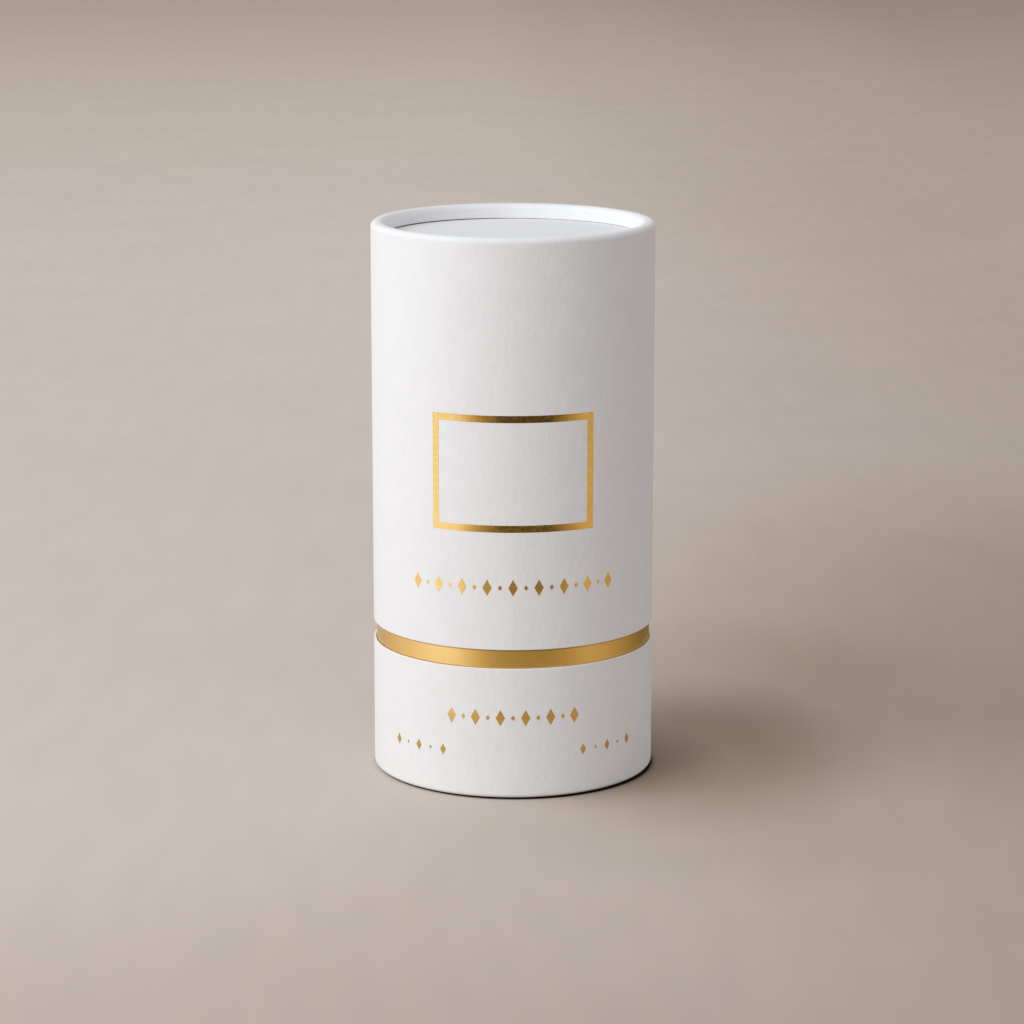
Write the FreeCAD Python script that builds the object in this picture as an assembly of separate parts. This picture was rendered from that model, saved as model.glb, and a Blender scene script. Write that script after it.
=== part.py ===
import FreeCAD, Part
import math
import os

# A round gift tube of rolled board: a short base, a long lid of the same outside diameter, and an
# inner neck that is glued into the base. The lid slides down over the neck until its ceiling meets
# the neck's mouth, and a band of the neck's gold paper stays in view between lid and base.
# The foot disc stands on z = 0, the tube's axis is +Z, and the gold frame on the lid faces -Y.

# Sizes of the closed tube, in millimetres
outside_diameter = 86.0
overall_height = 169.3
base_height = 40.5
reveal_height = 5.8

# Papers, and the film of glue between any two layers
wrap_paper = 0.15
liner_paper = 0.10
gold_paper = 0.10
glue_film = 0.05

# Boards
lid_board = 0.45
neck_board = 1.0
top_board = 1.0
ceiling_board = 1.2
bottom_board = 1.5
foot_board = 2.2
floor_board = 0.6
riser_board = 1.5
ring_board = 1.5

# Rolled rim of the lid and rolled foot of the base: the bend inside the board, and the flat on the roll
rim_bend = 1.1
rim_land = 0.7
foot_bend = 0.3
foot_land = 1.6

# Recess in the lid's top, and the gap between the end of the rim's roll and the disc below it
recess_depth = 4.6
roll_gap = 0.35

# Gap under the rolled foot, which the foot disc keeps off the ground, and the open seam round that disc
foot_gap = 0.5
disc_seam = 0.3

# Fit of the lid on the neck, and the gap that is left where its ceiling comes down on the mouth
neck_clearance = 0.12
stop_gap = 0.05

# Gold paper turned in at the mouth, the gap at each end of the lining below it, and the lap at the back
mouth_turn_in = 14.0
lining_gap = 0.3
wrap_lap = 7.0

# Card fitment that stands a bottle in the middle of the tube, and the width of its ring round the bottle
fitment_clearance = 0.3
riser_height = 28.0
ring_width = 10.3

# Gold foil stamped on the wraps, and the plain frame, which stands above the lid's lower edge by its rise
foil_thickness = 0.03
foil_film = 0.02
frame_width = 50.2
frame_height = 35.0
frame_line = 2.1
frame_rise = 35.8

# Rows of foil lozenges: the rise of the row's middle above the lower edge of the lid or of the base,
# and the length of the row along the wall
lid_row_rise = 19.0
lid_row_length = 62.0
base_row_rise = 24.9
base_row_length = 38.0
side_row_rise = 13.8
side_row_length = 18.0
side_row_offset = 31.0

# A row alternates large and small lozenges, about one pitch apart
lozenge_pitch = 3.9
large_lozenge_width = 2.8
large_lozenge_height = 5.0
small_lozenge_width = 1.3
small_lozenge_height = 1.7
side_lozenge_share = 0.7

# One overrun serves every cutting shape
overrun = 2.0

full_turn = 360.0
quarter_turn = 90.0
half_turn = 180.0
half_share = 0.5

# Paper folded close round the square end of a board, and how far the board stays inside it
square_fold = 0
wrap_inset = wrap_paper + glue_film
gold_inset = gold_paper + glue_film

# Radii of the layers, from the outside in
outside_radius = outside_diameter * half_share
lid_wall = wrap_inset + lid_board
lid_liner_radius = outside_radius - lid_wall - glue_film
lid_inside_radius = lid_liner_radius - liner_paper
neck_radius = lid_inside_radius - neck_clearance
neck_board_radius = neck_radius - gold_inset
neck_bore_radius = neck_board_radius - neck_board
lining_radius = neck_bore_radius - glue_film
neck_inside_radius = lining_radius - max(liner_paper, gold_paper)
fitment_radius = neck_inside_radius - fitment_clearance
base_inside_radius = neck_radius + glue_film
base_board = outside_radius - wrap_inset - base_inside_radius
base_wall = wrap_inset + base_board

# Rolled edges: the outer rounding and the whole width of the roll
rim_round = rim_bend + lid_wall
rim_width = rim_round + rim_land + rim_round
foot_round = foot_bend + base_wall
foot_width = foot_round + foot_land + foot_round
recess_radius = outside_radius - rim_width
foot_recess_radius = outside_radius - foot_width

# Heights in the base, from the ground up
foot_disc_low = wrap_inset
foot_disc_high = foot_disc_low + foot_board
bottom_low = foot_disc_high + glue_film
bottom_high = bottom_low + bottom_board
neck_low = bottom_high + glue_film
floor_low = neck_low
floor_high = floor_low + floor_board
riser_low = floor_high + glue_film
riser_high = riser_low + riser_height
ring_low = riser_high + glue_film
ring_high = ring_low + ring_board

# Heights in the lid, from the rim down
lid_low = base_height + reveal_height
top_surface = overall_height - recess_depth
roll_end = top_surface + roll_gap
top_board_high = top_surface - wrap_inset
top_board_low = top_board_high - top_board
ceiling_high = top_board_low - glue_film
ceiling_low = ceiling_high - ceiling_board
ceiling_paper_high = ceiling_low - glue_film
ceiling_paper_low = ceiling_paper_high - liner_paper
neck_high = ceiling_paper_low - stop_gap


def point(spot):
    """A point of a profile: its radius along X and its height along Z."""
    radius, height = spot
    return FreeCAD.Vector(radius, 0, height)


def moved(spot, way, distance):
    """The spot carried the distance along the way."""
    return (spot[0] + way[0] * distance, spot[1] + way[1] * distance)


def line(start, end):
    return Part.LineSegment(point(start), point(end)).toShape()


def path_edges(corners, bends, offset):
    """Edges along a path of square corners, moved to its left by the offset, with its bends as arcs.

    The arcs of one corner share their centre, so paths at other offsets lie parallel to each other.
    A corner with no bend stays square. Returns the edges with the first and the last point.
    """
    lefts = []
    for here, ahead in zip(corners, corners[1:]):
        run = math.hypot(ahead[0] - here[0], ahead[1] - here[1])
        lefts.append(((here[1] - ahead[1]) / run, (ahead[0] - here[0]) / run))
    start = moved(corners[0], lefts[0], offset)
    here = start
    edges = []
    for corner, bend, before, after in zip(corners[1:], bends, lefts, lefts[1:]):
        if bend == square_fold:
            ahead = moved(moved(corner, before, offset), after, offset)
            edges.append(line(here, ahead))
            here = ahead
            continue
        centre = moved(moved(corner, before, bend), after, bend)
        radius = bend - offset
        inward = (before[0] + after[0], before[1] + after[1])
        arc_start = moved(centre, before, -radius)
        arc_middle = moved(centre, inward, -radius / math.hypot(*inward))
        arc_end = moved(centre, after, -radius)
        edges.append(line(here, arc_start))
        edges.append(Part.Arc(point(arc_start), point(arc_middle), point(arc_end)).toShape())
        here = arc_end
    end = moved(corners[-1], lefts[-1], offset)
    edges.append(line(here, end))
    return edges, start, end


def turned(edges, angle=full_turn):
    """The closed profile turned about the tube's axis."""
    face = Part.Face(Part.Wire(Part.sortEdges(edges)[0]))
    return face.revolve(FreeCAD.Vector(0, 0, 0), FreeCAD.Vector(0, 0, 1), angle)


def sheet(corners, bends, near, far):
    """A sheet that follows the path round the axis, between two offsets from the path."""
    near_edges, near_start, near_end = path_edges(corners, bends, near)
    far_edges, far_start, far_end = path_edges(corners, bends, far)
    ends = [line(near_start, far_start), line(near_end, far_end)]
    return turned(near_edges + far_edges + ends)


def ring(inner, outer, low, high, angle=full_turn):
    """A ring about the axis, or a stretch of one that starts at +X."""
    spots = [(inner, low), (outer, low), (outer, high), (inner, high)]
    edges = [line(here, ahead) for here, ahead in zip(spots, spots[1:] + spots[:1])]
    return turned(edges, angle)


def disc(radius, low, high):
    return Part.makeCylinder(radius, high - low, FreeCAD.Vector(0, 0, low))


def wall_angle(distance):
    """The angle in degrees that a distance along the outside wall spans."""
    return math.degrees(distance / outside_radius)


def turn_to(shape, angle):
    """Turns a shape about the axis, from the +X side to the given angle, counted from the front."""
    shape.rotate(FreeCAD.Vector(0, 0, 0), FreeCAD.Vector(0, 0, 1), angle - quarter_turn)
    return shape


def stretch(inner, outer, low, high, middle_angle, width):
    """A stretch of a ring, as wide as the distance along the wall, about its middle angle."""
    spread = wall_angle(width)
    return turn_to(ring(inner, outer, low, high, spread), middle_angle - spread * half_share)


def with_lap(wrap, low, high):
    """The wrap with the lap where its two edges overlap, up the straight wall at the back."""
    lap_inner = outside_radius - wrap_paper * half_share
    lap = stretch(lap_inner, outside_radius + wrap_paper, low, high, half_turn, wrap_lap)
    return wrap.fuse(lap)


# Base

def make_base_tube():
    """Board tube whose lower end is rolled inwards into a foot, and up to the bottom disc."""
    corners = [
        (foot_recess_radius, bottom_low - glue_film),
        (foot_recess_radius, foot_gap),
        (outside_radius, foot_gap),
        (outside_radius, base_height - wrap_inset),
    ]
    return sheet(corners, [foot_round, foot_round], wrap_inset, base_wall)


def make_base_wrap():
    """Paper round the foot, up the wall and over the upper edge, to the neck."""
    corners = [
        (foot_recess_radius, bottom_low - glue_film),
        (foot_recess_radius, foot_gap),
        (outside_radius, foot_gap),
        (outside_radius, base_height),
        (base_inside_radius, base_height),
    ]
    wrap = sheet(corners, [foot_round, foot_round, square_fold], 0, wrap_paper)
    return with_lap(wrap, foot_gap + foot_round, base_height - wrap_inset)


def make_base_bottom_disc():
    return disc(base_inside_radius - glue_film, bottom_low, bottom_high)


def make_base_foot_disc():
    return disc(foot_recess_radius - disc_seam - wrap_inset, foot_disc_low, foot_disc_high)


def make_base_foot_paper():
    """Paper under the foot disc, turned up round its edge, which the whole tube stands on."""
    radius = foot_recess_radius - disc_seam
    corners = [(0, 0), (radius, 0), (radius, foot_disc_high)]
    return sheet(corners, [square_fold], 0, wrap_paper)


# Neck

def make_neck_tube():
    return ring(neck_bore_radius, neck_board_radius, neck_low, neck_high - gold_inset)


def make_neck_gold_wrap():
    """Gold paper up the neck, over its mouth and turned in."""
    turned_radius = neck_bore_radius - gold_inset
    corners = [
        (neck_radius, neck_low),
        (neck_radius, neck_high),
        (turned_radius, neck_high),
        (turned_radius, neck_high - mouth_turn_in),
    ]
    return sheet(corners, [square_fold, square_fold], 0, gold_paper)


def make_neck_liner():
    low = neck_low + lining_gap
    high = neck_high - mouth_turn_in - lining_gap
    return ring(lining_radius - liner_paper, lining_radius, low, high)


# Fitment inside the neck

def make_floor_card():
    return disc(fitment_radius, floor_low, floor_high)


def make_bottle_riser():
    return ring(fitment_radius - riser_board, fitment_radius, riser_low, riser_high)


def make_bottle_ring():
    """Card ring whose hole keeps a bottle upright in the middle."""
    return ring(fitment_radius - ring_width, fitment_radius, ring_low, ring_high)


# Lid

def make_lid_tube():
    """Board tube whose upper end is rolled inwards and down, close to the top disc."""
    corners = [
        (outside_radius, lid_low + wrap_inset),
        (outside_radius, overall_height),
        (recess_radius, overall_height),
        (recess_radius, roll_end),
    ]
    return sheet(corners, [rim_round, rim_round], wrap_inset, lid_wall)


def make_lid_wrap():
    """Paper under the lower edge, up the wall, over the rolled rim and down into the recess."""
    corners = [
        (lid_inside_radius, lid_low),
        (outside_radius, lid_low),
        (outside_radius, overall_height),
        (recess_radius, overall_height),
        (recess_radius, roll_end),
    ]
    wrap = sheet(corners, [square_fold, rim_round, rim_round], 0, wrap_paper)
    return with_lap(wrap, lid_low + wrap_inset, overall_height - rim_round)


def make_lid_liner():
    return ring(lid_inside_radius, lid_liner_radius, lid_low + wrap_inset, ceiling_low)


def make_lid_ceiling_disc():
    return disc(lid_liner_radius, ceiling_low, ceiling_high)


def make_lid_ceiling_paper():
    return disc(lid_inside_radius - glue_film, ceiling_paper_low, ceiling_paper_high)


def make_lid_top_disc():
    return disc(lid_liner_radius - wrap_inset, top_board_low, top_board_high)


def make_lid_top_paper():
    """Paper over the top disc, turned down round its edge, which lies hidden under the roll."""
    corners = [
        (lid_liner_radius, top_board_low),
        (lid_liner_radius, top_surface),
        (0, top_surface),
    ]
    return sheet(corners, [square_fold], 0, wrap_paper)


# Gold foil

foil_inner = outside_radius + foil_film
foil_outer = foil_inner + foil_thickness


def make_lid_foil_frame():
    """Plain frame bent round the front of the lid."""
    frame_low = lid_low + frame_rise
    frame_high = frame_low + frame_height
    outer = stretch(foil_inner, foil_outer, frame_low, frame_high, 0, frame_width)
    window = stretch(
        foil_inner - overrun,
        foil_outer + overrun,
        frame_low + frame_line,
        frame_high - frame_line,
        0,
        frame_width - frame_line - frame_line,
    )
    return outer.cut(window)


def lozenge(angle, height, lozenge_width, lozenge_height):
    """One lozenge of foil that lies on the wall."""
    reach = lozenge_width * half_share
    rise = lozenge_height * half_share
    corners = [
        FreeCAD.Vector(foil_inner - overrun, -reach, height),
        FreeCAD.Vector(foil_inner - overrun, 0, height - rise),
        FreeCAD.Vector(foil_inner - overrun, reach, height),
        FreeCAD.Vector(foil_inner - overrun, 0, height + rise),
    ]
    face = Part.Face(Part.makePolygon(corners + corners[:1]))
    prism = face.extrude(FreeCAD.Vector(overrun + overrun, 0, 0))
    skin = ring(foil_inner, foil_outer, height - lozenge_height, height + lozenge_height)
    return turn_to(prism.common(skin), angle)


def lozenge_row(height, length, middle, size_share=1):
    """A row of lozenges, large and small in turn, that starts and ends with a large one."""
    gaps = 2 * round(length / lozenge_pitch * half_share)
    lozenges = []
    for step in range(gaps + 1):
        angle = wall_angle(middle + length * (step / gaps - half_share))
        if step % 2 == 0:
            width, rise = large_lozenge_width, large_lozenge_height
        else:
            width, rise = small_lozenge_width, small_lozenge_height
        lozenges += lozenge(angle, height, width * size_share, rise * size_share).Solids
    return lozenges


def make_lid_foil_row():
    return Part.makeCompound(lozenge_row(lid_low + lid_row_rise, lid_row_length, 0))


def make_base_foil_rows():
    """A row in the middle of the base, and a smaller, lower one on each side of it."""
    lozenges = lozenge_row(foot_gap + base_row_rise, base_row_length, 0)
    for middle in (-side_row_offset, side_row_offset):
        lozenges += lozenge_row(foot_gap + side_row_rise, side_row_length, middle, side_lozenge_share)
    return Part.makeCompound(lozenges)


makers = {
    "base_tube": make_base_tube,
    "base_wrap": make_base_wrap,
    "base_bottom_disc": make_base_bottom_disc,
    "base_foot_disc": make_base_foot_disc,
    "base_foot_paper": make_base_foot_paper,
    "base_foil_rows": make_base_foil_rows,
    "neck_tube": make_neck_tube,
    "neck_gold_wrap": make_neck_gold_wrap,
    "neck_liner": make_neck_liner,
    "floor_card": make_floor_card,
    "bottle_riser": make_bottle_riser,
    "bottle_ring": make_bottle_ring,
    "lid_tube": make_lid_tube,
    "lid_wrap": make_lid_wrap,
    "lid_liner": make_lid_liner,
    "lid_ceiling_disc": make_lid_ceiling_disc,
    "lid_ceiling_paper": make_lid_ceiling_paper,
    "lid_top_disc": make_lid_top_disc,
    "lid_top_paper": make_lid_top_paper,
    "lid_foil_frame": make_lid_foil_frame,
    "lid_foil_row": make_lid_foil_row,
}

os.makedirs("parts", exist_ok=True)
for name, make in makers.items():
    make().exportStep(f"parts/{name}.step")
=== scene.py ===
# %% [markdown]
# # A gift tube of rolled board
#
# The tube is a short base with a gold neck, and a long lid that slides down over the neck. Its boards
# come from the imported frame, at their real size. This lesson dresses them: white paper that is rolled
# over the rim, gold paper on the neck, stamped foil, linings, and the card that holds a bottle upright.
# Before each step a few sentences say what the piece is, how it could be made, and why it is made so.

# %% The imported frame
import math

import bpy
import numpy as np
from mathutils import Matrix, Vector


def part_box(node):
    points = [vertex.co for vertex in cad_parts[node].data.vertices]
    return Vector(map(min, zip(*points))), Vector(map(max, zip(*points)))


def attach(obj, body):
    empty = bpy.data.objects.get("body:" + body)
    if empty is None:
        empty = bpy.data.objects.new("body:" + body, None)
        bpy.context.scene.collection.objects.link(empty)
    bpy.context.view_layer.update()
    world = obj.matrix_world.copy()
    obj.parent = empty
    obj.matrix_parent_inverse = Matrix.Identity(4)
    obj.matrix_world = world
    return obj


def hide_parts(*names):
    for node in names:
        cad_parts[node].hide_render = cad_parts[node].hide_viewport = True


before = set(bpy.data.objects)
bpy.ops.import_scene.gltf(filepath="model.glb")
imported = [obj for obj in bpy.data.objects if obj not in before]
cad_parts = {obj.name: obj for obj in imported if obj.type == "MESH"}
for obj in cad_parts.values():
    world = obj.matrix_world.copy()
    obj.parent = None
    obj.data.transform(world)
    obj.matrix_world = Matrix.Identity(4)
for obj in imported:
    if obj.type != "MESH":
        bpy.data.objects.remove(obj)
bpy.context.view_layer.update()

# %% [markdown]
# ## Sizes
#
# Every piece of the tube is round, so a node's box gives its radius and its two heights. The thickness of
# the papers isn't in a box, so it is named here once and used by all the pieces. Lengths are in metres.

# %% Sizes
mm = 0.001
wrap_paper = 0.15 * mm
thin_paper = 0.10 * mm


def reach(node):
    """A round node's largest radius, its lowest height and its highest height, in metres."""
    low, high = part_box(node)
    return high[0], low[2], high[2]


wall_radius, lid_low, lid_high = reach("lid_wrap")
print(f"Wall radius {wall_radius / mm:.2f} mm, lid from {lid_low / mm:.2f} to {lid_high / mm:.2f} mm")

# %% [markdown]
# ## The camera
#
# The picture looks slightly down on the tube through a long lens, so the sides stay almost parallel. The
# camera's place and lens were fitted to the outline of rim, band and foot. It is set before anything
# else, because every later choice is judged through it.

# %% The camera
camera_place = (-0.0003, -1.0084, 0.2986)
camera_pitch = 0.2144
camera_lens = 118.0
camera_sensor = 36.0

camera_data = bpy.data.cameras.new("portrait_camera")
camera_data.lens = camera_lens
camera_data.sensor_width = camera_sensor
camera = bpy.data.objects.new("portrait_camera", camera_data)
camera.location = camera_place
camera.rotation_euler = (math.pi / 2 - camera_pitch, 0, 0)
bpy.context.collection.objects.link(camera)
bpy.context.scene.camera = camera
bpy.context.scene.view_settings.view_transform = "Standard"
camera_away = math.hypot(*camera_place[:2])
print(f"Camera {camera_away:.2f} m away, {math.degrees(camera_pitch):.1f} degrees down")

# %% [markdown]
# ## Nodes, noise and colour
#
# A procedural material is a small tree of nodes. Building each tree by hand takes five lines per node,
# so a few helpers add a node, set or link its inputs, and give noise whose grain is a real length. All
# patterns read Object coordinates, which are metres here, because every mesh sits at the origin. Most of
# a noise lies between 0.3 and 0.7, so a colour or a roughness is spread over that span.

# %% Nodes, noise and colour
noise_span = (0.3, 0.7)


def add(tree, kind, inputs=None, **properties):
    """A new node with these properties, each input set to a value or linked to a socket."""
    made = tree.nodes.new(kind)
    for name, value in properties.items():
        setattr(made, name, value)
    for name, value in (inputs or {}).items():
        if isinstance(value, bpy.types.NodeSocket):
            tree.links.new(value, made.inputs[name])
        else:
            made.inputs[name].default_value = value
    return made


def new_finish(name, roughness=None, metallic=0.0):
    """A material, its tree and its shader; without a roughness, the finish links one that varies."""
    material = bpy.data.materials.new(name)
    material.use_nodes = True
    tree = material.node_tree
    shader = tree.nodes["Principled BSDF"]
    shader.inputs["Metallic"].default_value = metallic
    if roughness is not None:
        shader.inputs["Roughness"].default_value = roughness
    return material, tree, shader


def spread(tree, stretch=(1, 1, 1)):
    """Object coordinates, divided by the stretch along each axis."""
    where = add(tree, "ShaderNodeTexCoord").outputs["Object"]
    shrink = [1 / along for along in stretch]
    return add(tree, "ShaderNodeMapping", {"Vector": where, "Scale": shrink}).outputs["Vector"]


def coordinates(tree):
    """The three Object coordinates, as sockets named X, Y and Z."""
    return add(tree, "ShaderNodeSeparateXYZ", {"Vector": spread(tree)}).outputs


def noise(tree, grain, detail=2.0, rough=0.5, stretch=(1, 1, 1)):
    """Noise from 0 to 1 whose grains are this long in metres, times the stretch along each axis."""
    settings = {"Vector": spread(tree, stretch), "Scale": 1 / grain, "Detail": detail, "Roughness": rough}
    return add(tree, "ShaderNodeTexNoise", settings).outputs["Fac"]


def ranged(tree, value, start, end, low, high):
    """The value carried from the range start to end into the range low to high, with soft ends."""
    settings = {"Value": value, "From Min": start, "From Max": end, "To Min": low, "To Max": high}
    made = add(tree, "ShaderNodeMapRange", settings, interpolation_type="SMOOTHSTEP")
    return made.outputs["Result"]


def tint(tree, value, start, end, first, last):
    """A colour that goes from first to last while the value goes from start to end."""
    ramp = add(tree, "ShaderNodeValToRGB", {"Fac": value})
    for element, place, colour in zip(ramp.color_ramp.elements, (start, end), (first, last)):
        element.position = place
        element.color = (*colour, 1)
    return ramp.outputs["Color"]


print("Noise is spread from", noise_span[0], "to", noise_span[1])

# %% [markdown]
# ## Layers, bumps and specks
#
# Real finishes lie in layers: a sheet, its marks, its wear. A coat could be mixed in, but then it covers
# the grain below it. Multiplied onto the colour, it shades it and lets the grain show, and each bump is
# laid on the normal of the one below it.

# %% Layers, bumps and specks
clear = (1, 1, 1)


def math_node(tree, operation, first, second=0.0):
    """One step of arithmetic on two values or sockets; a step on one value leaves the second out."""
    made = add(tree, "ShaderNodeMath", operation=operation)
    for socket, value in zip(made.inputs, (first, second)):
        if isinstance(value, bpy.types.NodeSocket):
            tree.links.new(value, socket)
        else:
            socket.default_value = value
    return made.outputs["Value"]


def layered(tree, colour, coat):
    """A colour with another colour or a shade laid over it, as their product."""
    made = add(tree, "ShaderNodeVectorMath", operation="MULTIPLY")
    tree.links.new(colour, made.inputs[0])
    tree.links.new(coat, made.inputs[1])
    return made.outputs["Vector"]


def coated(tree, colour, mask, first, last):
    """A colour under a coat that goes from first to last while the mask goes from 0 to 1."""
    return layered(tree, colour, tint(tree, mask, 0.0, 1.0, first, last))


def bump(tree, height, depth, below=None):
    """A normal that follows the height from 0 to 1 over this depth in metres, laid on the one below."""
    settings = {"Height": height, "Distance": depth, "Strength": 1.0}
    if below is not None:
        settings["Normal"] = below
    return add(tree, "ShaderNodeBump", settings).outputs["Normal"]


def specks(tree, cell, radius, kept_share, stretch=(1, 1, 1)):
    """Soft specks of this radius times the stretch, one to a cell, in only a share of the cells."""
    settings = {"Vector": spread(tree, stretch), "Scale": 1 / cell}
    cells = add(tree, "ShaderNodeTexVoronoi", settings)
    dot = ranged(tree, cells.outputs["Distance"], 0.0, radius / cell, 1.0, 0.0)
    lot = add(tree, "ShaderNodeSeparateColor", {"Color": cells.outputs["Color"]}).outputs["Red"]
    return math_node(tree, "MULTIPLY", dot, math_node(tree, "LESS_THAN", lot, kept_share))


print("A coat that leaves a colour as it is:", clear)

# %% [markdown]
# ## Profiles of bent paper
#
# A paper tube is a profile carried round an axis. The profile is a path of square corners in radius and
# height, whose bends become quarter arcs. A Bevel modifier could round the corners too, but papers that
# lie on each other need bends with one centre. So a sheet is the strip between two parallel paths, and
# keeps its thickness round every bend.

# %% Profiles of bent paper
guard = 0.4 * mm
arc_steps = 10


def straight(start, end):
    """Points on a straight run: its ends, and a guard point near each end that keeps the shading flat."""
    length = np.linalg.norm(end - start)
    near = min(guard, length / 3) / length
    shares = np.array([0, near, 1 - near, 1])
    return start + shares[:, None] * (end - start)


def bent_path(corners, bends, offset):
    """A path of square corners, moved to its left by the offset, with each bend as a quarter arc.

    On an arc a point is the bend's centre, less the radius times (before cos t + after sin t), where
    before and after are the left-hand normals of the two runs and t goes from 0 to a quarter turn.
    """
    corners = np.array(corners, float)
    runs = np.diff(corners, axis=0)
    runs /= np.linalg.norm(runs, axis=1)[:, None]
    lefts = np.column_stack([-runs[:, 1], runs[:, 0]])
    turn = np.linspace(0, np.pi / 2, arc_steps + 1)[:, None]
    here = corners[0] + lefts[0] * offset
    points = []
    for corner, bend, before, after in zip(corners[1:], bends, lefts, lefts[1:]):
        centre = corner + (before + after) * bend
        arc = centre - (bend - offset) * (before * np.cos(turn) + after * np.sin(turn))
        points += [straight(here, arc[0]), arc[1:-1]]
        here = arc[-1]
    points.append(straight(here, corners[-1] + lefts[-1] * offset))
    return np.concatenate(points)


def sheet_profile(corners, bends, thickness):
    """The closed profile of a sheet: out along the path, and back along the one inside it."""
    return np.concatenate([bent_path(corners, bends, 0), bent_path(corners, bends, thickness)[::-1]])


def box_profile(inner, outer, low, high, bend):
    """The closed profile of a ring, its four edges rounded by the bend, from the middle of its foot."""
    middle = (inner + outer) / 2
    corners = [(middle, low), (outer, low), (outer, high), (inner, high), (inner, low), (middle, low)]
    return bent_path(corners, [bend] * 4, 0)[:-1]


def disc_profile(radius, low, high, bend):
    """From the axis out along the low face, up the edge and back along the high face to the axis."""
    corners = [(0, low), (radius, low), (radius, high), (0, high)]
    return bent_path(corners, [bend] * 2, 0)


print(f"A bend has {arc_steps} steps")

# %% [markdown]
# ## Turning a profile
#
# A Screw modifier could carry the profile round. Here the whole grid of points is one numpy expression,
# which keeps seams closed and lets a lap or a wrinkle be added to the radius before the mesh exists.

# %% Turning a profile
columns = 288
round_angles = np.linspace(0, 2 * np.pi, columns, endpoint=False)


def turned(profile, angles, gain=0, drop=0):
    """The profile turned round the axis: x = r sin a, y = -r cos a, z = h.

    A gain is added to r and a drop is taken from h. Both are grids with one row for each point of the
    profile and one column for each angle.
    """
    radius = profile[:, :1] + gain + np.zeros((1, len(angles)))
    height = profile[:, 1:] - drop + np.zeros_like(radius)
    return np.stack([radius * np.sin(angles), -radius * np.cos(angles), height], -1).reshape(-1, 3)


def quads(rows, count, closed):
    """Four-cornered faces of a grid whose columns close round, and whose rows close if asked."""
    row = np.arange(rows if closed else rows - 1)[:, None]
    column = np.arange(count)[None, :]
    ahead = (row + 1) % rows
    aside = (column + 1) % count
    corners = [row * count + column, row * count + aside, ahead * count + aside, ahead * count + column]
    return np.stack(np.broadcast_arrays(*corners), -1).reshape(-1, 4)


def fan(pole, start):
    """Triangles from a pole to every two neighbours on the ring of columns that begins at the start."""
    column = np.arange(columns)
    return np.column_stack([np.full(columns, pole), start + column, start + (column + 1) % columns])


print(f"Round pieces have {columns} columns")

# %% [markdown]
# ## Putting a piece in its place
#
# Each new piece stands for one CAD node. It rides the node's body and hides the node. Its points are
# already where they belong, so its object stays at the origin.

# %% Putting a piece in its place
sharp_angle = math.radians(40)


def put(node, points, faces, material, body):
    """Makes the piece that replaces a node, smooth but for its sharp edges, and lets it ride the body."""
    name = node + "_piece"
    mesh = bpy.data.meshes.new(name)
    mesh.from_pydata(points.tolist(), [], faces)
    mesh.validate()
    mesh.shade_smooth()
    mesh.set_sharp_from_angle(angle=sharp_angle)
    mesh.materials.append(material)
    piece = bpy.data.objects.new(name, mesh)
    bpy.context.collection.objects.link(piece)
    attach(piece, body)
    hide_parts(node)
    print(f"{name}: {len(mesh.vertices)} points, {len(mesh.polygons)} faces, on {body}")


def put_ring(node, profile, material, body, angles=round_angles, gain=0, drop=0):
    """A closed profile turned round the axis, with rows and columns that close on themselves."""
    faces = quads(len(profile), len(angles), True).tolist()
    put(node, turned(profile, angles, gain, drop), faces, material, body)


def put_disc(node, profile, material, body):
    """A profile from the axis out and back, turned round; its first and last point are the two poles.

    The two fans look opposite ways, so the corners of the first one are taken in the other order.
    """
    rim = profile[1:-1]
    points = turned(rim, round_angles)
    poles = np.column_stack([np.zeros((2, 2)), profile[[0, -1], 1]])
    first_fan = fan(len(points), 0)[:, [0, 2, 1]]
    last_fan = fan(len(points) + 1, (len(rim) - 1) * columns)
    faces = quads(len(rim), columns, False).tolist() + first_fan.tolist() + last_fan.tolist()
    put(node, np.concatenate([points, poles]), faces, material, body)


print(f"Edges over {math.degrees(sharp_angle):.0f} degrees stay sharp")

# %% [markdown]
# ## White wrap paper
#
# The tube is covered in an uncoated white paper with a soft felt finish. It could be a plain white
# diffuse shader, but then it looks like plastic. What makes it paper is small: a fine tooth, a slightly
# cloudy felt mark a few millimetres long, and a few short fibres under the surface that stand upright,
# the way the sheet was made. All of them are heights of about a tenth of a millimetre or less, so they
# only show where the light grazes the wall. At the back, where the sheet laps over itself, its cut edge
# is painted as a darker hairline: partly the greyer cut edge, partly the painted shade of the step.

# %% White wrap paper
wrap_shaded = (0.837, 0.826, 0.834)
wrap_bright = (0.867, 0.856, 0.864)
wrap_cloud = 7 * mm
felt_grain = 1.8 * mm
felt_depth = 0.13 * mm
tooth_grain = 0.35 * mm
tooth_depth = 0.010 * mm
fibre_cell = 4 * mm
fibre_radius = 0.7 * mm
fibre_share = 0.6
fibre_depth = 0.05 * mm
upright = (1, 1, 1.8)
lap_width = 7.0 * mm
hairline = 0.22 * mm
hairline_shade = (0.70, 0.69, 0.69)
hairline_start = 1.2 * mm
hairline_full = 0.4 * mm


def lap_hairline(tree):
    """1 on the cut edge of the lap and 0 a hairline away from it, on the wall's back only."""
    place = coordinates(tree)
    edge = -wall_radius * math.sin(lap_width / 2 / wall_radius)
    away = math_node(tree, "ABSOLUTE", math_node(tree, "SUBTRACT", place["X"], edge))
    near = ranged(tree, away, 0.0, hairline, 1.0, 0.0)
    start = wall_radius - hairline_start
    full = wall_radius - hairline_full
    at_back = ranged(tree, place["Y"], start, full, 0.0, 1.0)
    return math_node(tree, "MULTIPLY", near, at_back)


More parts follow.
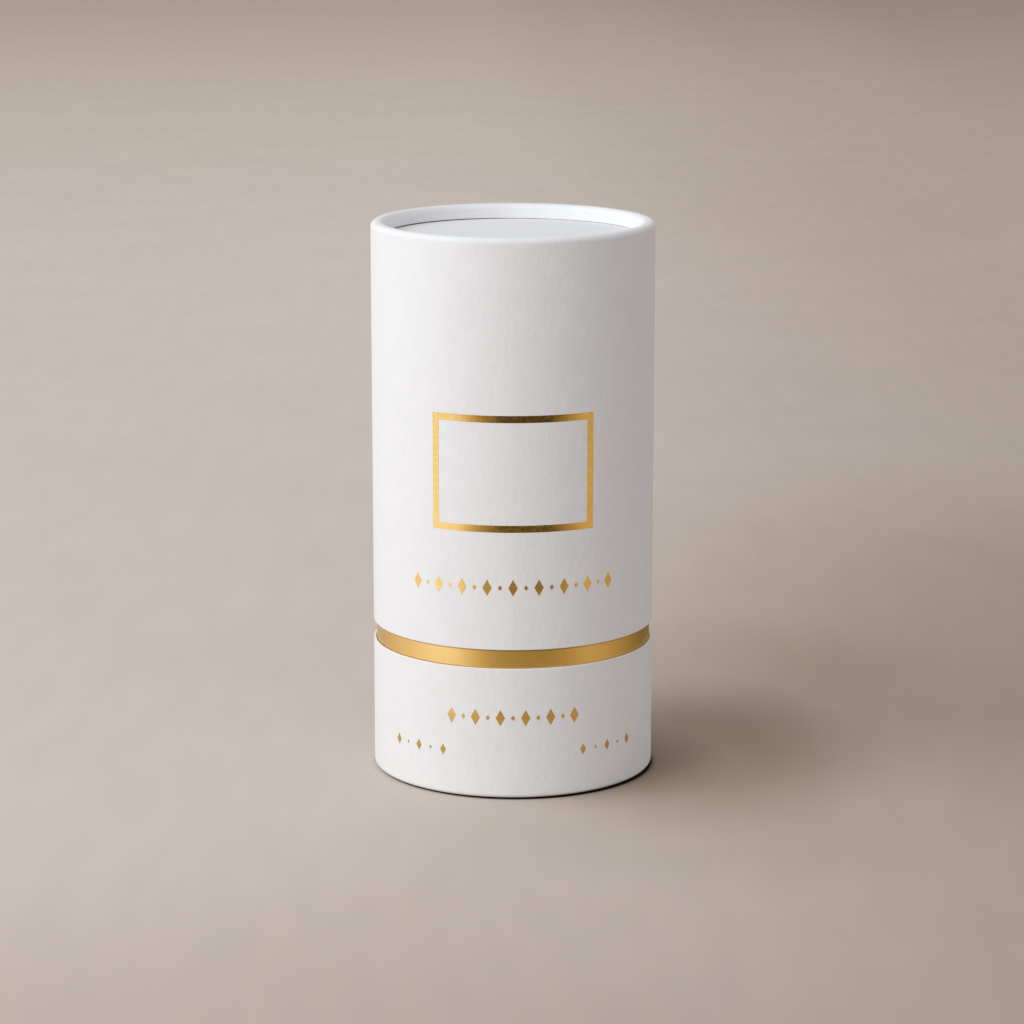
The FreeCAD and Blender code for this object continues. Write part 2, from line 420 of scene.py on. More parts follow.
def wrap_paper_finish():
    """Matte white paper with tooth, felt mark, short upright fibres and the lap's hairline."""
    material, tree, shader = new_finish("white_wrap_paper", roughness=0.82)
    cloud = noise(tree, wrap_cloud, detail=4.0, rough=0.6)
    colour = tint(tree, cloud, *noise_span, wrap_shaded, wrap_bright)
    # The lap's hairline: partly the greyer cut edge, partly the painted shade of the paper's step.
    colour = coated(tree, colour, lap_hairline(tree), clear, hairline_shade)
    tree.links.new(colour, shader.inputs["Base Color"])
    felt = noise(tree, felt_grain, detail=3.0, rough=0.55, stretch=upright)
    tooth = noise(tree, tooth_grain, detail=2.0, rough=0.6)
    fibres = specks(tree, fibre_cell, fibre_radius, fibre_share, stretch=upright)
    normal = bump(tree, felt, felt_depth)
    normal = bump(tree, tooth, tooth_depth, normal)
    normal = bump(tree, fibres, fibre_depth, normal)
    tree.links.new(normal, shader.inputs["Normal"])
    shader.inputs["Specular IOR Level"].default_value = 0.3
    return material


white_wrap_paper = wrap_paper_finish()
print("Finish made:", white_wrap_paper.name)

# %% [markdown]
# ## The wraps of lid and base
#
# One sheet covers each half. On the lid it starts under the lower edge, goes up the wall, over the
# rolled rim and down into the recess of the top. On the base it goes from the recess under the foot to
# the upper edge. At the back the two ends of the sheet lap over each other by a few millimetres, which
# leaves a step as thick as the paper. A second mesh for the lap would need gluing, so the step is added
# to the radius of the same grid. Where the roll draws the paper in, it has more length than room, and
# the gain also gives it the faint pleats that this leaves in the recess.

# %% Lap and pleats
lap_ramp = 1.6 * mm
lap_ramp_columns = 6
lap_edge = 0.12 * mm
lap_edge_columns = 3
pleat_height = 0.012 * mm
pleat_counts = (61, 83, 107)
pleat_seed = 4

lap_start = -lap_width / 2 + np.linspace(-lap_ramp, 0, lap_ramp_columns)
lap_end = lap_width / 2 + np.linspace(-lap_edge, 0, lap_edge_columns)
lap_angles = np.pi + np.concatenate([lap_start, lap_end]) / wall_radius
wrap_angles = np.union1d(round_angles, lap_angles)


def soft_step(value, start, end):
    """0 before the start and 1 after the end, with a smooth rise t t (3 - 2 t) between them."""
    share = np.clip((value - start) / (end - start), 0, 1)
    return share * share * (3 - 2 * share)


def wrap_gain(profile, roll):
    """The gain of a wrap's radius: the lap on the wall's back, and the pleats where the roll draws it in.

    The lap is the paper's thickness times a soft step up and a steep step down, on the outer half of the
    profile alone. The pleats are the mean of a few sine waves round the axis, with seeded phases.
    """
    outer_half = np.arange(len(profile)) < len(profile) / 2
    wall_share = soft_step(profile[:, 0], wall_radius - roll, wall_radius) * outer_half
    around = (wrap_angles - np.pi) * wall_radius
    rise = soft_step(around, lap_start[0], lap_start[-1])
    fall = soft_step(around, lap_end[0], lap_end[-1])
    lap = wrap_paper * (rise - fall)
    drawn_in = soft_step(profile[:, 0], wall_radius - roll, wall_radius - 2 * roll)
    phases = np.random.default_rng(pleat_seed).uniform(0, 2 * np.pi, len(pleat_counts))
    waves = np.sin(np.outer(pleat_counts, wrap_angles) + phases[:, None])
    pleats = pleat_height * waves.sum(axis=0) / len(pleat_counts)
    return np.outer(wall_share, lap) + np.outer(drawn_in, pleats)


print(f"Wraps have {len(wrap_angles)} columns, {len(lap_angles)} of them at the lap")

# %% [markdown]
# The end of the lid's paper on the roll isn't cut quite level. It hangs lower on the right, so the gap
# above the top disc narrows there. This could be a cut in the mesh, but a drop of the heights near the
# paper's end does it on the same grid.

# %% The wrap of the lid
fold = 0.2 * mm
rim_round = 1.75 * mm
rim_land = 0.7 * mm
roll_gap = 0.35 * mm
roll_dip = 0.22 * mm
dip_start = -0.9
dip_full = 0.4

top_radius, top_low, top_high = reach("lid_top_paper")
lid_lining_radius = reach("lid_liner")[0]
recess_radius = wall_radius - rim_round - rim_land - rim_round
roll_end = top_high + roll_gap
lid_path = [
    (lid_lining_radius - thin_paper, lid_low),
    (wall_radius, lid_low),
    (wall_radius, lid_high),
    (recess_radius, lid_high),
    (recess_radius, roll_end),
]
lid_profile = sheet_profile(lid_path, [fold, rim_round, rim_round], wrap_paper)
lid_gain = wrap_gain(lid_profile, rim_round)
in_recess = lid_profile[:, 0] < recess_radius + rim_round
hanging = soft_step(lid_profile[:, 1], lid_high - rim_round, roll_end) * in_recess
dip = roll_dip * soft_step(np.sin(wrap_angles), dip_start, dip_full)
lid_drop = np.outer(hanging, dip)
put_ring(
    "lid_wrap", lid_profile, white_wrap_paper, "lid", wrap_angles, lid_gain, lid_drop
)

# %% [markdown]
# The base's paper stops just short of the neck, which leaves a hairline of shade round the gold. Below, it
# goes round the rolled foot and ends beside the disc that the tube stands on.

# %% The wrap of the base
disc_seam = 0.3 * mm
wrap_short = 0.25 * mm
foot_round = 1.17 * mm

foot_low, base_high = reach("base_wrap")[1:]
foot_radius, ground_level, foot_high = reach("base_foot_paper")
neck_radius, neck_low, neck_high = reach("neck_gold_wrap")
foot_recess_radius = foot_radius + disc_seam
base_path = [
    (foot_recess_radius, foot_high),
    (foot_recess_radius, foot_low),
    (wall_radius, foot_low),
    (wall_radius, base_high),
    (neck_radius + wrap_short, base_high),
]
base_profile = sheet_profile(base_path, [foot_round, foot_round, fold], wrap_paper)
base_gain = wrap_gain(base_profile, foot_round)
put_ring("base_wrap", base_profile, white_wrap_paper, "base", wrap_angles, base_gain)

# %% [markdown]
# ## Top disc and underside
#
# A papered disc lies under the roll of the lid, and the gap below the roll's end is the fine dark line
# round the top. Another papered disc stands in the rolled foot and keeps it just off the ground, which
# draws the dark line under the base. On both, the paper is turned round the disc's edge. A cylinder
# primitive would have a knife edge, so each paper is a sheet that is folded once and turned round.

# %% Top disc and underside
top_path = [(top_radius, top_low), (top_radius, top_high), (0, top_high)]
top_profile = sheet_profile(top_path, [fold], wrap_paper)
from_axis = np.roll(top_profile, len(top_profile) // 2, axis=0)
put_disc("lid_top_paper", from_axis, white_wrap_paper, "lid")
under_path = [(0, ground_level), (foot_radius, ground_level), (foot_radius, foot_high)]
under_profile = sheet_profile(under_path, [fold], wrap_paper)
put_disc("base_foot_paper", under_profile, white_wrap_paper, "base")

# %% [markdown]
# ## Gold paper
#
# The neck is covered in metallised paper: a film of metal on paper, under a clear lacquer. It is satin,
# not a mirror, so it gathers the studio into broad light and dark stretches. A metallic shader with a
# deep gold colour gives the dark stretches, and the lacquer's coat whitens the light ones. The paper
# below shows as a faint grain that runs round the tube, and as a few flecks. Where the lid's edge comes
# to rest, a fine dark line of painted shade runs round the neck: the shade that the lid's edge casts.

# %% Gold paper
gold_deep = (0.85, 0.53, 0.15)
gold_light = (0.91, 0.60, 0.20)
gold_grain = 0.5 * mm
round_the_neck = (14, 14, 1)
fleck_shade = (0.78, 0.74, 0.66)
fleck_cell = 4 * mm
fleck_radius = 0.35 * mm
fleck_share = 0.8
lid_edge_painted_shade = (0.50, 0.44, 0.34)
lid_edge_shade_core = 0.3 * mm
lid_edge_shade_reach = 0.75 * mm
satin_cloud = 12 * mm
satin_smooth = 0.27
satin_rough = 0.30
neck_wave = 6 * mm
neck_wave_depth = 0.006 * mm


def gold_paper_finish():
    """Satin metallised paper with a grain round the tube, flecks, painted shade under the lid's edge and
    lacquer.
    """
    material, tree, shader = new_finish("satin_gold_paper", metallic=1.0)
    grain = noise(tree, gold_grain, detail=2.0, stretch=round_the_neck)
    flecks = specks(tree, fleck_cell, fleck_radius, fleck_share)
    # A fine line of painted shade just under the lid's edge.
    from_edge = math_node(tree, "SUBTRACT", coordinates(tree)["Z"], lid_low)
    outside_lid_edge_shade = ranged(tree, math_node(tree, "ABSOLUTE", from_edge), lid_edge_shade_core, lid_edge_shade_reach, 0.0, 1.0)
    colour = tint(tree, grain, 0.0, 1.0, gold_deep, gold_light)
    colour = coated(tree, colour, flecks, clear, fleck_shade)
    colour = coated(tree, colour, outside_lid_edge_shade, lid_edge_painted_shade, clear)
    tree.links.new(colour, shader.inputs["Base Color"])
    cloud = noise(tree, satin_cloud, detail=0.0)
    satin = ranged(tree, cloud, *noise_span, satin_smooth, satin_rough)
    tree.links.new(satin, shader.inputs["Roughness"])
    waves = noise(tree, neck_wave, detail=0.0)
    tree.links.new(bump(tree, waves, neck_wave_depth), shader.inputs["Normal"])
    shader.inputs["Coat Weight"].default_value = 0.4
    shader.inputs["Coat Roughness"].default_value = 0.25
    return material


satin_gold_paper = gold_paper_finish()
print("Finish made:", satin_gold_paper.name)

# %% [markdown]
# ## The neck
#
# The gold paper goes up the neck's board, folds over its mouth and is turned in a finger's breadth. Only
# a band of it shows on the closed tube, but the lid lifts off, so the whole height is made.

# %% The neck
lining_gap = 0.3 * mm
neck_lining_radius, _, neck_lining_high = reach("neck_liner")
turned_in_radius = neck_lining_radius - thin_paper
neck_path = [
    (neck_radius, neck_low),
    (neck_radius, neck_high),
    (turned_in_radius, neck_high),
    (turned_in_radius, neck_lining_high + lining_gap),
]
neck_profile = sheet_profile(neck_path, [fold, fold], thin_paper)
put_ring("neck_gold_wrap", neck_profile, satin_gold_paper, "base")

# %% [markdown]
# ## Linings
#
# Neck and lid are lined with a smooth, slightly warm paper that only shows when the tube is open. Its
# mould leaves laid lines: fine parallel ribs, about one to the millimetre. Ribs of geometry would need
# thousands of faces, so a wave texture draws them.

# %% Lining paper
lining_shaded = (0.76, 0.745, 0.715)
lining_bright = (0.80, 0.785, 0.76)
lining_cloud = 5 * mm
rib_scale = 0.31 / mm
rib_depth = 0.006 * mm
lining_grain = 0.5 * mm
lining_depth = 0.012 * mm


def lining_finish():
    """Smooth off-white paper with laid lines and a cloudy body."""
    material, tree, shader = new_finish("laid_lining_paper", roughness=0.75)
    cloud = noise(tree, lining_cloud, detail=4.0, rough=0.6)
    colour = tint(tree, cloud, *noise_span, lining_shaded, lining_bright)
    tree.links.new(colour, shader.inputs["Base Color"])
    settings = {"Vector": spread(tree), "Scale": rib_scale, "Distortion": 0.4, "Detail": 1.0}
    ribs = add(tree, "ShaderNodeTexWave", settings, bands_direction="Z")
    normal = bump(tree, ribs.outputs["Fac"], rib_depth)
    normal = bump(tree, noise(tree, lining_grain, detail=3.0), lining_depth, normal)
    tree.links.new(normal, shader.inputs["Normal"])
    return material


laid_lining_paper = lining_finish()
print("Finish made:", laid_lining_paper.name)

# %% Linings of neck, lid and ceiling
lining_round = 0.03 * mm
linings = (
    ("neck_liner", "base"),
    ("lid_liner", "lid"),
)
for node, body in linings:
    outer, low, high = reach(node)
    profile = box_profile(outer - thin_paper, outer, low, high, lining_round)
    put_ring(node, profile, laid_lining_paper, body)
ceiling_profile = disc_profile(*reach("lid_ceiling_paper"), lining_round)
put_disc("lid_ceiling_paper", ceiling_profile, laid_lining_paper, "lid")

# %% [markdown]
# ## The card that holds a bottle
#
# A card lies on the floor of the tube. A rolled card stands on it as a riser, and carries a ring whose
# hole keeps a bottle upright. They are die-cut from white board, so their edges are crisp, with only the
# slight rounding that a die leaves, and the face shows the length of its fibres.

# %% Fitment card
card_shaded = (0.70, 0.69, 0.67)
card_bright = (0.77, 0.765, 0.75)
card_grain = 0.5 * mm
card_depth = 0.015 * mm
along_the_sheet = (9, 1.2, 1.2)


def card_finish():
    """White die-cut card with long pale fibres."""
    material, tree, shader = new_finish("white_fitment_card", roughness=0.7)
    fibres = noise(tree, card_grain, detail=4.0, rough=0.65, stretch=along_the_sheet)
    colour = tint(tree, fibres, *noise_span, card_shaded, card_bright)
    tree.links.new(colour, shader.inputs["Base Color"])
    tree.links.new(bump(tree, fibres, card_depth), shader.inputs["Normal"])
    return material


white_fitment_card = card_finish()
print("Finish made:", white_fitment_card.name)

# %% Floor card, riser and ring
die_round = 0.15 * mm
riser_width = 1.5 * mm
ring_width = 10.3 * mm
floor_profile = disc_profile(*reach("floor_card"), die_round)
put_disc("floor_card", floor_profile, white_fitment_card, "base")
for node, width in (("bottle_riser", riser_width), ("bottle_ring", ring_width)):
    outer, low, high = reach(node)
    profile = box_profile(outer - width, outer, low, high, die_round)
    put_ring(node, profile, white_fitment_card, "base")

# %% [markdown]
# ## Gold foil
#
# The frame and the rows of lozenges are hot-stamped: a heated die presses metal foil into the paper. The
# foil is brighter and smoother than the gold paper, but the paper's tooth comes through, so where the
# reflection changes from light to dark it breaks up into speckle. A flat metal would go over in one clean
# line, so the tooth drives the colour, the roughness and the normal together.

# %% Gold foil
foil_tooth = 0.8 * mm
foil_tooth_depth = 0.011 * mm
foil_colour_span = (0.3, 0.65)
foil_rough = 0.22
foil_smooth = 0.12


def gold_foil_finish():
    """Bright stamped foil that the tooth of the paper shows through."""
    material, tree, shader = new_finish("stamped_gold_foil", metallic=1.0)
    tooth = noise(tree, foil_tooth, detail=3.0, rough=0.6)
    colour = tint(tree, tooth, *foil_colour_span, gold_deep, gold_light)
    tree.links.new(colour, shader.inputs["Base Color"])
    roughness = ranged(tree, tooth, *noise_span, foil_rough, foil_smooth)
    tree.links.new(roughness, shader.inputs["Roughness"])
    tree.links.new(bump(tree, tooth, foil_tooth_depth), shader.inputs["Normal"])
    shader.inputs["Coat Weight"].default_value = 0.3
    shader.inputs["Coat Roughness"].default_value = 0.2
    return material


stamped_gold_foil = gold_foil_finish()
print("Finish made:", stamped_gold_foil.name)

# %% [markdown]
# ## The foil frame
#
# A plain frame is stamped on the front of the lid. It is a band of one width round a rectangle, bent on
# the wall, with mitred corners. Four bars would overlap at the corners, so the frame is one closed strip
# between an outer and an inner rectangle, and a point's angle is its way along the wall.

# %% The foil frame
frame_line = 2.1 * mm
foil_thickness = 0.03 * mm
side_steps = 40
frame_corner_low, frame_corner_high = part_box("lid_foil_frame")
foil_outer = -frame_corner_low[1]
foil_inner = foil_outer - foil_thickness


def outline(corners, steps):
    """Points round a polygon: from each corner an even run, of this many steps, to the next one."""
    corners = np.array(corners, float)
    share = np.arange(steps)[None, :, None] / steps
    return (corners[:, None] + share * (np.roll(corners, -1, axis=0) - corners)[:, None]).reshape(-1, 2)


def rectangle(half_angle, low, high):
    """Points round a rectangle on the wall, as angle and height, from its lower left corner."""
    corners = [(-half_angle, low), (half_angle, low), (half_angle, high), (-half_angle, high)]
    return outline(corners, side_steps)


def on_wall(flat, radius):
    """Carries angle and height onto the wall of this radius: x = r sin a, y = -r cos a."""
    angle, height = flat[..., 0], flat[..., 1]
    return np.stack([radius * np.sin(angle), -radius * np.cos(angle), height], -1)


half_angle = math.asin(frame_corner_high[0] / foil_outer)
inner_half_angle = half_angle - frame_line / wall_radius
frame_low, frame_high = frame_corner_low[2], frame_corner_high[2]
outside = rectangle(half_angle, frame_low, frame_high)
inside = rectangle(inner_half_angle, frame_low + frame_line, frame_high - frame_line)
frame_rings = [
    on_wall(outside, foil_outer),
    on_wall(inside, foil_outer),
    on_wall(inside, foil_inner),
    on_wall(outside, foil_inner),
]
frame_faces = quads(len(frame_rings), len(outside), True).tolist()
frame_points = np.concatenate(frame_rings)
put("lid_foil_frame", frame_points, frame_faces, stamped_gold_foil, "lid")

# %% [markdown]
# ## Rows of foil lozenges
#
# Below the frame, and on the base, stand rows of stamped lozenges, large and small in turn. They could be
# copies of one mesh, but copies would stay flat on the round wall. So one unit lozenge is scaled and
# carried to every place of a row at once, as way along the wall and height, and bent there.

# %% A row of foil lozenges
lozenge_pitch = 3.9 * mm
large_lozenge = np.array([2.8, 5.0]) * mm
small_lozenge = np.array([1.3, 1.7]) * mm
lozenge_steps = 4
unit_lozenge = outline([(0, -1), (1, 0), (0, 1), (-1, 0)], lozenge_steps)


def row_places(height, length, middle=0.0, share=1.0):
    """One line for each lozenge of a row: its way along the wall, height, width and rise."""
    gaps = 2 * round(length / lozenge_pitch / 2)
    step = np.arange(gaps + 1)
    along = middle + length * (step / gaps - 0.5)
    size = np.where((step % 2 == 0)[:, None], large_lozenge, small_lozenge) * share
    return np.column_stack([along, np.full_like(along, height), size])


def put_lozenges(node, places, body):
    """Stamps a lozenge at each place: two fans from the middle, and a wall as high as the foil."""
    ring = unit_lozenge[None]
    middle = np.zeros((1, 1, 2))
    spots = np.concatenate([middle, ring, ring, middle], axis=1)
    flat = places[:, None, :2] + spots * places[:, None, 2:] / 2
    flat[..., 0] /= wall_radius
    count = len(unit_lozenge)
    radius = np.repeat([foil_outer, foil_inner], count + 1)
    points = on_wall(flat, radius[None])
    here = np.arange(count)
    ahead = (here + 1) % count
    top_fan = np.column_stack([np.zeros(count, int), 1 + here, 1 + ahead])
    wall = np.column_stack([1 + count + here, 1 + count + ahead, 1 + ahead, 1 + here])
    bottom_fan = np.column_stack([np.full(count, 2 * count + 1), 1 + count + ahead, 1 + count + here])
    starts = (np.arange(len(places)) * points.shape[1])[:, None, None]
    faces = []
    for part in (top_fan, wall, bottom_fan):
        faces += (part[None] + starts).reshape(-1, part.shape[1]).tolist()
    put(node, points.reshape(-1, 3), faces, stamped_gold_foil, body)


print(f"A lozenge has {len(unit_lozenge)} points on each face")

# %% Rows on lid and base
lid_row_length = 62.0 * mm
base_row_length = 38.0 * mm
side_row_length = 18.0 * mm
side_row_offset = 31.0 * mm
side_lozenge_share = 0.7

lid_row_low, lid_row_high = reach("lid_foil_row")[1:]
lid_row = row_places((lid_row_low + lid_row_high) / 2, lid_row_length)
put_lozenges("lid_foil_row", lid_row, "lid")
base_rows_low, base_rows_high = reach("base_foil_rows")[1:]
base_rows = [row_places(base_rows_high - large_lozenge[1] / 2, base_row_length)]
side_row_height = base_rows_low + side_lozenge_share * large_lozenge[1] / 2
for middle in (-side_row_offset, side_row_offset):
    base_rows.append(row_places(side_row_height, side_row_length, middle, side_lozenge_share))
put_lozenges("base_foil_rows", np.concatenate(base_rows), "base")

# %% [markdown]
# ## The boards
#
# Under the papers lie the boards: wound tubes and punched discs of grey recycled board. They come from
# the frame as they are and only get a finish, because hardly more than their edges ever shows: pulp with
# pale and dark fibres, drawn out round the tube by the winding.

# %% The boards
board_dark = (0.22, 0.19, 0.16)
board_pale = (0.46, 0.42, 0.37)
pulp_grain = 0.6 * mm
pulp_depth = 0.05 * mm
pulp_colour_span = (0.3, 0.72)
along_the_winding = (4, 4, 1)
boards = (
    "base_tube",
    "base_bottom_disc",
    "base_foot_disc",
    "neck_tube",
    "lid_tube",
    "lid_ceiling_disc",
    "lid_top_disc",
)


def board_finish():
    """Grey recycled board with pale and dark fibres."""
    material, tree, shader = new_finish("grey_recycled_board", roughness=0.9)
    pulp = noise(tree, pulp_grain, detail=5.0, rough=0.7, stretch=along_the_winding)
    colour = tint(tree, pulp, *pulp_colour_span, board_dark, board_pale)
    tree.links.new(colour, shader.inputs["Base Color"])
    tree.links.new(bump(tree, pulp, pulp_depth), shader.inputs["Normal"])
    return material


grey_recycled_board = board_finish()
for node in boards:
    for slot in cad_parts[node].material_slots:
        slot.material = grey_recycled_board
print("Boards finished:", len(boards))

# %% [markdown]
# ## The stage
#
# The tube stands on a seamless warm grey ground. A flat ground that runs far back is enough, because the
# camera looks down on it and never sees its end. It is slightly mottled, as painted paper is. Light and
# shade are painted into its colour as well: a painted falloff of the softbox's light makes it lighter
# behind the tube, darker again far back, and darker and warmer towards the right. Painted shadow patches
# beside the tube and a painted contact shadow under its edge make the shadow there as deep as in the
# picture, and one painted patch of light far back is lighter.

# %% The ground's paint
paint_shaded = (0.553, 0.463, 0.404)
paint_bright = (0.567, 0.477, 0.418)
paint_cloud = 90 * mm
mottle_grain = 12 * mm
mottle_stretch = (1, 4, 1)
mottle_shades = (0.986, 1.014)
# Painted light falloff from front to back, in metres: where a shade starts and ends, and how light it is
# there.
painted_light_by_depth = (
    (-0.3, -0.05, 0.885, 1.08),
    (-0.45, 1.25, 0.95, 1.42),
)
# Tints and a painted falloff to darker far back, from front to back in metres: where a coat starts and is
# full, and its colour.
depth_tints_and_painted_falloff = (
    (-0.3, 0.05, (0.965, 1.0, 1.015)),
    (0.7, 2.0, (1.01, 1.01, 0.975)),
    (1.4, 4.2, (0.75, 0.70, 0.69)),
)
# Painted falloff of the softbox's light: lighter on the left, darker and warmer on the right, over this
# span in metres.
painted_light_left_coat = (1.05, 1.05, 1.06)
painted_shade_right_coat = (0.79, 0.76, 0.73)
painted_falloff_span = (-0.08, 0.30)
# Painted shadow patches, and one painted patch of light far back: the middle and the span of each on the
# ground, in metres, and the colour of its core.
painted_shadow_and_light_patches = (
    ((0.17, 0.13), (0.17, 0.36), (0.873, 0.83, 0.784)),
    ((0.075, 0.115), (0.075, 0.075), (0.945, 0.93, 0.90)),
    ((0.056, 0.010), (0.066, 0.090), (0.716, 0.665, 0.592)),
    ((0.018, -0.003), (0.049, 0.049), (0.66, 0.635, 0.585)),
    ((0.055, -0.075), (0.085, 0.060), (0.92, 0.915, 0.905)),
    ((0.26, 3.1), (0.22, 1.8), (1.10, 1.12, 1.13)),
)
patch_edge = (0.3, 1.1)
# A painted contact shadow under the tube's foot, its middle moved a little away from the light.
painted_contact_shadow_middle = (1.0 * mm, 0)
painted_contact_shadow_edge = (0.97, 1.01)
under_shade = 0.04


def away_from(tree, middle, span):
    """The distance from a place on the ground, where 1 is as far as the span along each axis."""
    where = add(tree, "ShaderNodeTexCoord").outputs["Object"]
    scale = (1 / span[0], 1 / span[1], 1)
    shift = (-middle[0] * scale[0], -middle[1] * scale[1], 0)
    moved = add(tree, "ShaderNodeMapping", {"Vector": where, "Location": shift, "Scale": scale})
    length = add(tree, "ShaderNodeVectorMath", {"Vector": moved.outputs["Vector"]}, operation="LENGTH")
    return length.outputs["Value"]


def ground_finish():
    """Matte warm grey with a mottle and tints, painted light falloff, and painted shadows beside and under
    the tube.
    """
    material, tree, shader = new_finish("warm_grey_ground", roughness=0.95)
    cloud = noise(tree, paint_cloud, detail=2.0)
    colour = tint(tree, cloud, *noise_span, paint_shaded, paint_bright)
    mottle = noise(tree, mottle_grain, detail=2.0, stretch=mottle_stretch)
    colour = layered(tree, colour, ranged(tree, mottle, *noise_span, *mottle_shades))
    place = coordinates(tree)
    for start, end, low, high in painted_light_by_depth:
        colour = layered(tree, colour, ranged(tree, place["Y"], start, end, low, high))
    for start, end, coat in depth_tints_and_painted_falloff:
        far = ranged(tree, place["Y"], start, end, 0.0, 1.0)
        colour = coated(tree, colour, far, clear, coat)
    aside = ranged(tree, place["X"], *painted_falloff_span, 0.0, 1.0)
    colour = coated(tree, colour, aside, painted_light_left_coat, painted_shade_right_coat)
    # Painted shadow patches beside the tube, and one painted patch of light far back.
    for middle, span, core in painted_shadow_and_light_patches:
        beside = ranged(tree, away_from(tree, middle, span), *patch_edge, 0.0, 1.0)
        colour = coated(tree, colour, beside, core, clear)
    # The painted contact shadow under the foot.
    under = away_from(tree, painted_contact_shadow_middle, (wall_radius, wall_radius))
    colour = layered(tree, colour, ranged(tree, under, *painted_contact_shadow_edge, under_shade, 1.0))
    tree.links.new(colour, shader.inputs["Base Color"])
    shader.inputs["Specular IOR Level"].default_value = 0.1
    return material


warm_grey_ground = ground_finish()
print("Finish made:", warm_grey_ground.name)

# %% The ground
ground_rings = np.array([9.0, 4.0, 1.5, 0.6, 0.2])
ground_profile = np.column_stack([ground_rings, np.zeros(len(ground_rings))])
ground_points = np.concatenate([turned(ground_profile, round_angles), np.zeros((1, 3))])
ground_fan = fan(len(ground_points) - 1, (len(ground_rings) - 1) * columns)
ground_faces = quads(len(ground_rings), columns, False).tolist() + ground_fan.tolist()
ground_mesh = bpy.data.meshes.new("ground")
ground_mesh.from_pydata(ground_points.tolist(), [], ground_faces)
ground_mesh.materials.append(warm_grey_ground)
ground = bpy.data.objects.new("ground", ground_mesh)
bpy.context.collection.objects.link(ground)
print(f"Ground of {ground_rings[0]:.0f} m radius")

# %% [markdown]
# ## The light
#
# One wide softbox on the left and an even room, as in the picture: the wall of the tube fades from white
# on the left to grey on the right, and the shadow falls to the right. A second lamp on the right would
# flatten that fade.

# %% The light
room_colour = (0.979, 0.983, 1.0, 1.0)
room_strength = 0.592


def put_softbox(name, azimuth, elevation, distance, width, height, watts, colour):
    """An area light that looks at the middle of the tube, at this azimuth from the front."""
    lamp = bpy.data.lights.new(name, "AREA")
    lamp.shape = "RECTANGLE"
    lamp.size = width
    lamp.size_y = height
    lamp.energy = watts
    lamp.color = colour
    holder = bpy.data.objects.new(name, lamp)
    a, e = math.radians(azimuth), math.radians(elevation)
    way = np.array([math.sin(a) * math.cos(e), -math.cos(a) * math.cos(e), math.sin(e)])
    holder.location = np.array([0, 0, lid_high / 2]) + distance * way
    holder.rotation_euler = (math.pi / 2 - e, 0, a)
    bpy.context.collection.objects.link(holder)
    print(f"{name}: {watts} W, {distance} m away, {elevation} degrees up")


put_softbox(
    "key_softbox",
    azimuth=-59,
    elevation=31,
    distance=1.1,
    width=1.1,
    height=0.75,
    watts=8.4,
    colour=(0.932, 0.988, 1.0),
)
room = bpy.data.worlds.new("room")
room.use_nodes = True
background = room.node_tree.nodes["Background"]
background.inputs["Color"].default_value = room_colour
background.inputs["Strength"].default_value = room_strength
bpy.context.scene.world = room
print("Room light:", room_strength)

# %% [markdown]
# ## Cards for the gold
#
# Gold looks like what it reflects. From this height the neck and the foil mirror the ground around the
# tube: the neck and the lid's row what lies near it, the frame what lies further off. A photographer lays
# cards there and takes them out of the picture afterwards. Here the cards glow, though they are no lamps,
# and are painted reflections for the gold. They are graded, white on the left, dark in the middle and
# warm on the right, so that the gold goes softly from light to dark. A lamp behind the camera could not
# give that. The glow is an attribute of each card's mesh, and the cards are hidden from every ray that
# isn't a reflection.

# %% The glow of the cards
dim_glow = np.array([1.0, 0.78, 0.33])
bright_glow = np.array([0.0, 0.22, 0.75])
# Each line is an angle from the front in degrees, and the level of the glow there.
near_card_levels = (
    (-125, 0.66),
    (-60, 1.12),
    (-45, 1.10),
    (-14, 0.43),
    (25, 0.33),
    (62, 0.62),
    (120, 0.19),
    (165, 0.19),
)
far_card_levels = (
    (-84, 1.12),
    (-45, 1.08),
    (-26, 0.38),
    (-8, 0.02),
    (30, 0.04),
    (56, 0.62),
    (98, 0.58),
)


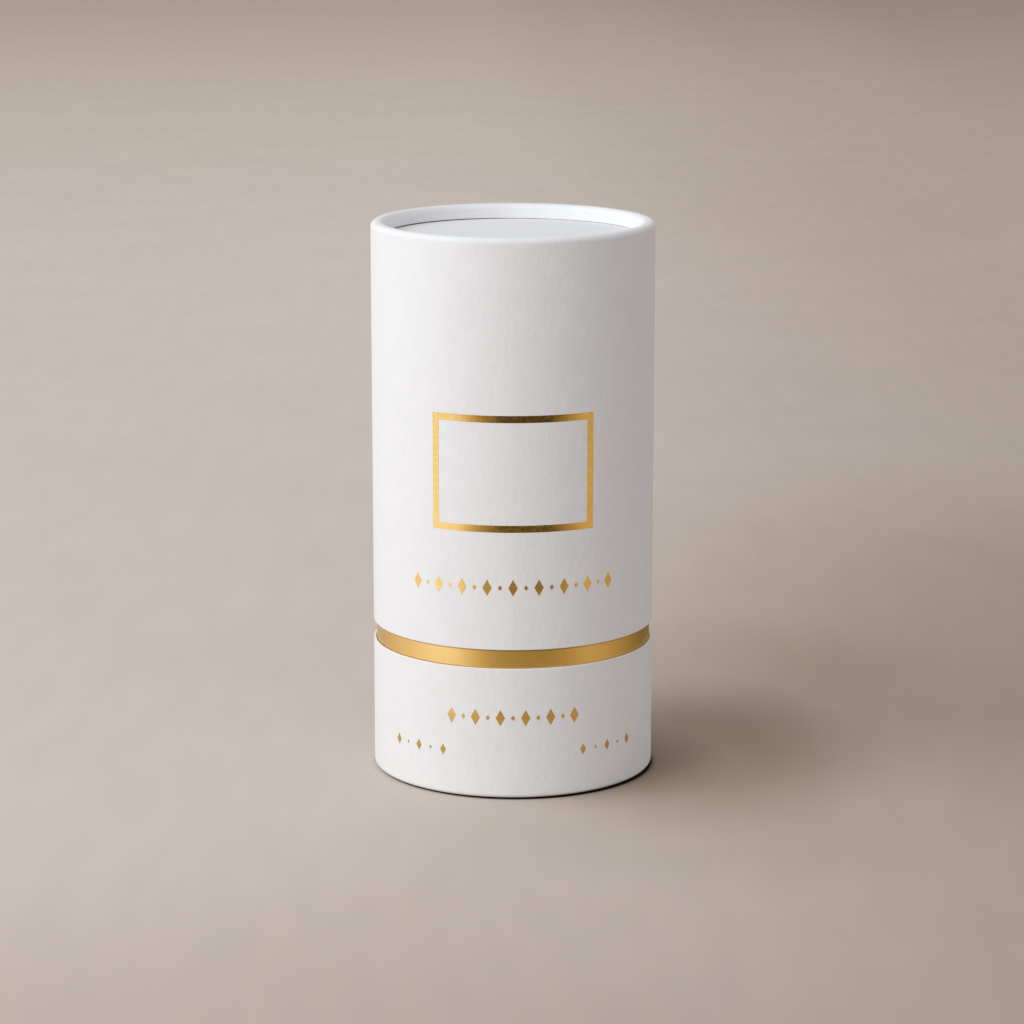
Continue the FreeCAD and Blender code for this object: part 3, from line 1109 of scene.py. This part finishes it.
def graded_card_finish():
    """Black card that glows as its mesh's attribute says, a painted reflection that no ray is aimed at on
    purpose.
    """
    material, tree, shader = new_finish("glowing_reflection_card", roughness=1.0)
    shader.inputs["Base Color"].default_value = (0, 0, 0, 1)
    shader.inputs["Specular IOR Level"].default_value = 0.0
    shader.inputs["Emission Strength"].default_value = 1.0
    glow = add(tree, "ShaderNodeAttribute", attribute_name="glow").outputs["Color"]
    tree.links.new(glow, shader.inputs["Emission Color"])
    material.cycles.emission_sampling = "NONE"
    return material


glowing_reflection_card = graded_card_finish()
print("Finish made:", glowing_reflection_card.name)

# %% The cards on the ground
card_height = 1.0 * mm
card_columns = 120
near_card_reach = (0.13, 0.36)
far_card_reach = (0.36, 0.95)


def put_card(name, radii, levels):
    """A flat sector on the ground, whose glow goes evenly from one level to the next round the tube.

    The colour at a level is l (dim + bright l l), so a dim glow is a warm gold and a bright one a cool
    white. Each point is x = r sin a, y = -r cos a on a grid of two radii and several angles.
    """
    stops = np.array(levels)
    angles = np.linspace(stops[0, 0], stops[-1, 0], card_columns)
    level = np.interp(angles, stops[:, 0], stops[:, 1])[:, None]
    colour = level * (dim_glow + bright_glow * level * level)
    glow = np.tile(np.column_stack([colour, np.ones(card_columns)]), (2, 1))
    near, far = radii
    rings = np.array([(far, card_height), (near, card_height)])
    column = np.arange(card_columns - 1)
    faces = np.column_stack([column, column + 1, column + 1 + card_columns, column + card_columns])
    mesh = bpy.data.meshes.new(name)
    mesh.from_pydata(turned(rings, np.radians(angles)).tolist(), [], faces.tolist())
    mesh.attributes.new("glow", "FLOAT_COLOR", "POINT").data.foreach_set("color", glow.ravel())
    mesh.materials.append(glowing_reflection_card)
    sector = bpy.data.objects.new(name, mesh)
    sector.visible_camera = False
    sector.visible_diffuse = False
    sector.visible_transmission = False
    sector.visible_volume_scatter = False
    sector.visible_shadow = False
    bpy.context.collection.objects.link(sector)
    print(f"{name}: {len(stops)} levels from {stops[0, 0]:.0f} to {stops[-1, 0]:.0f} degrees")


put_card("near_card", near_card_reach, near_card_levels)
put_card("far_card", far_card_reach, far_card_levels)
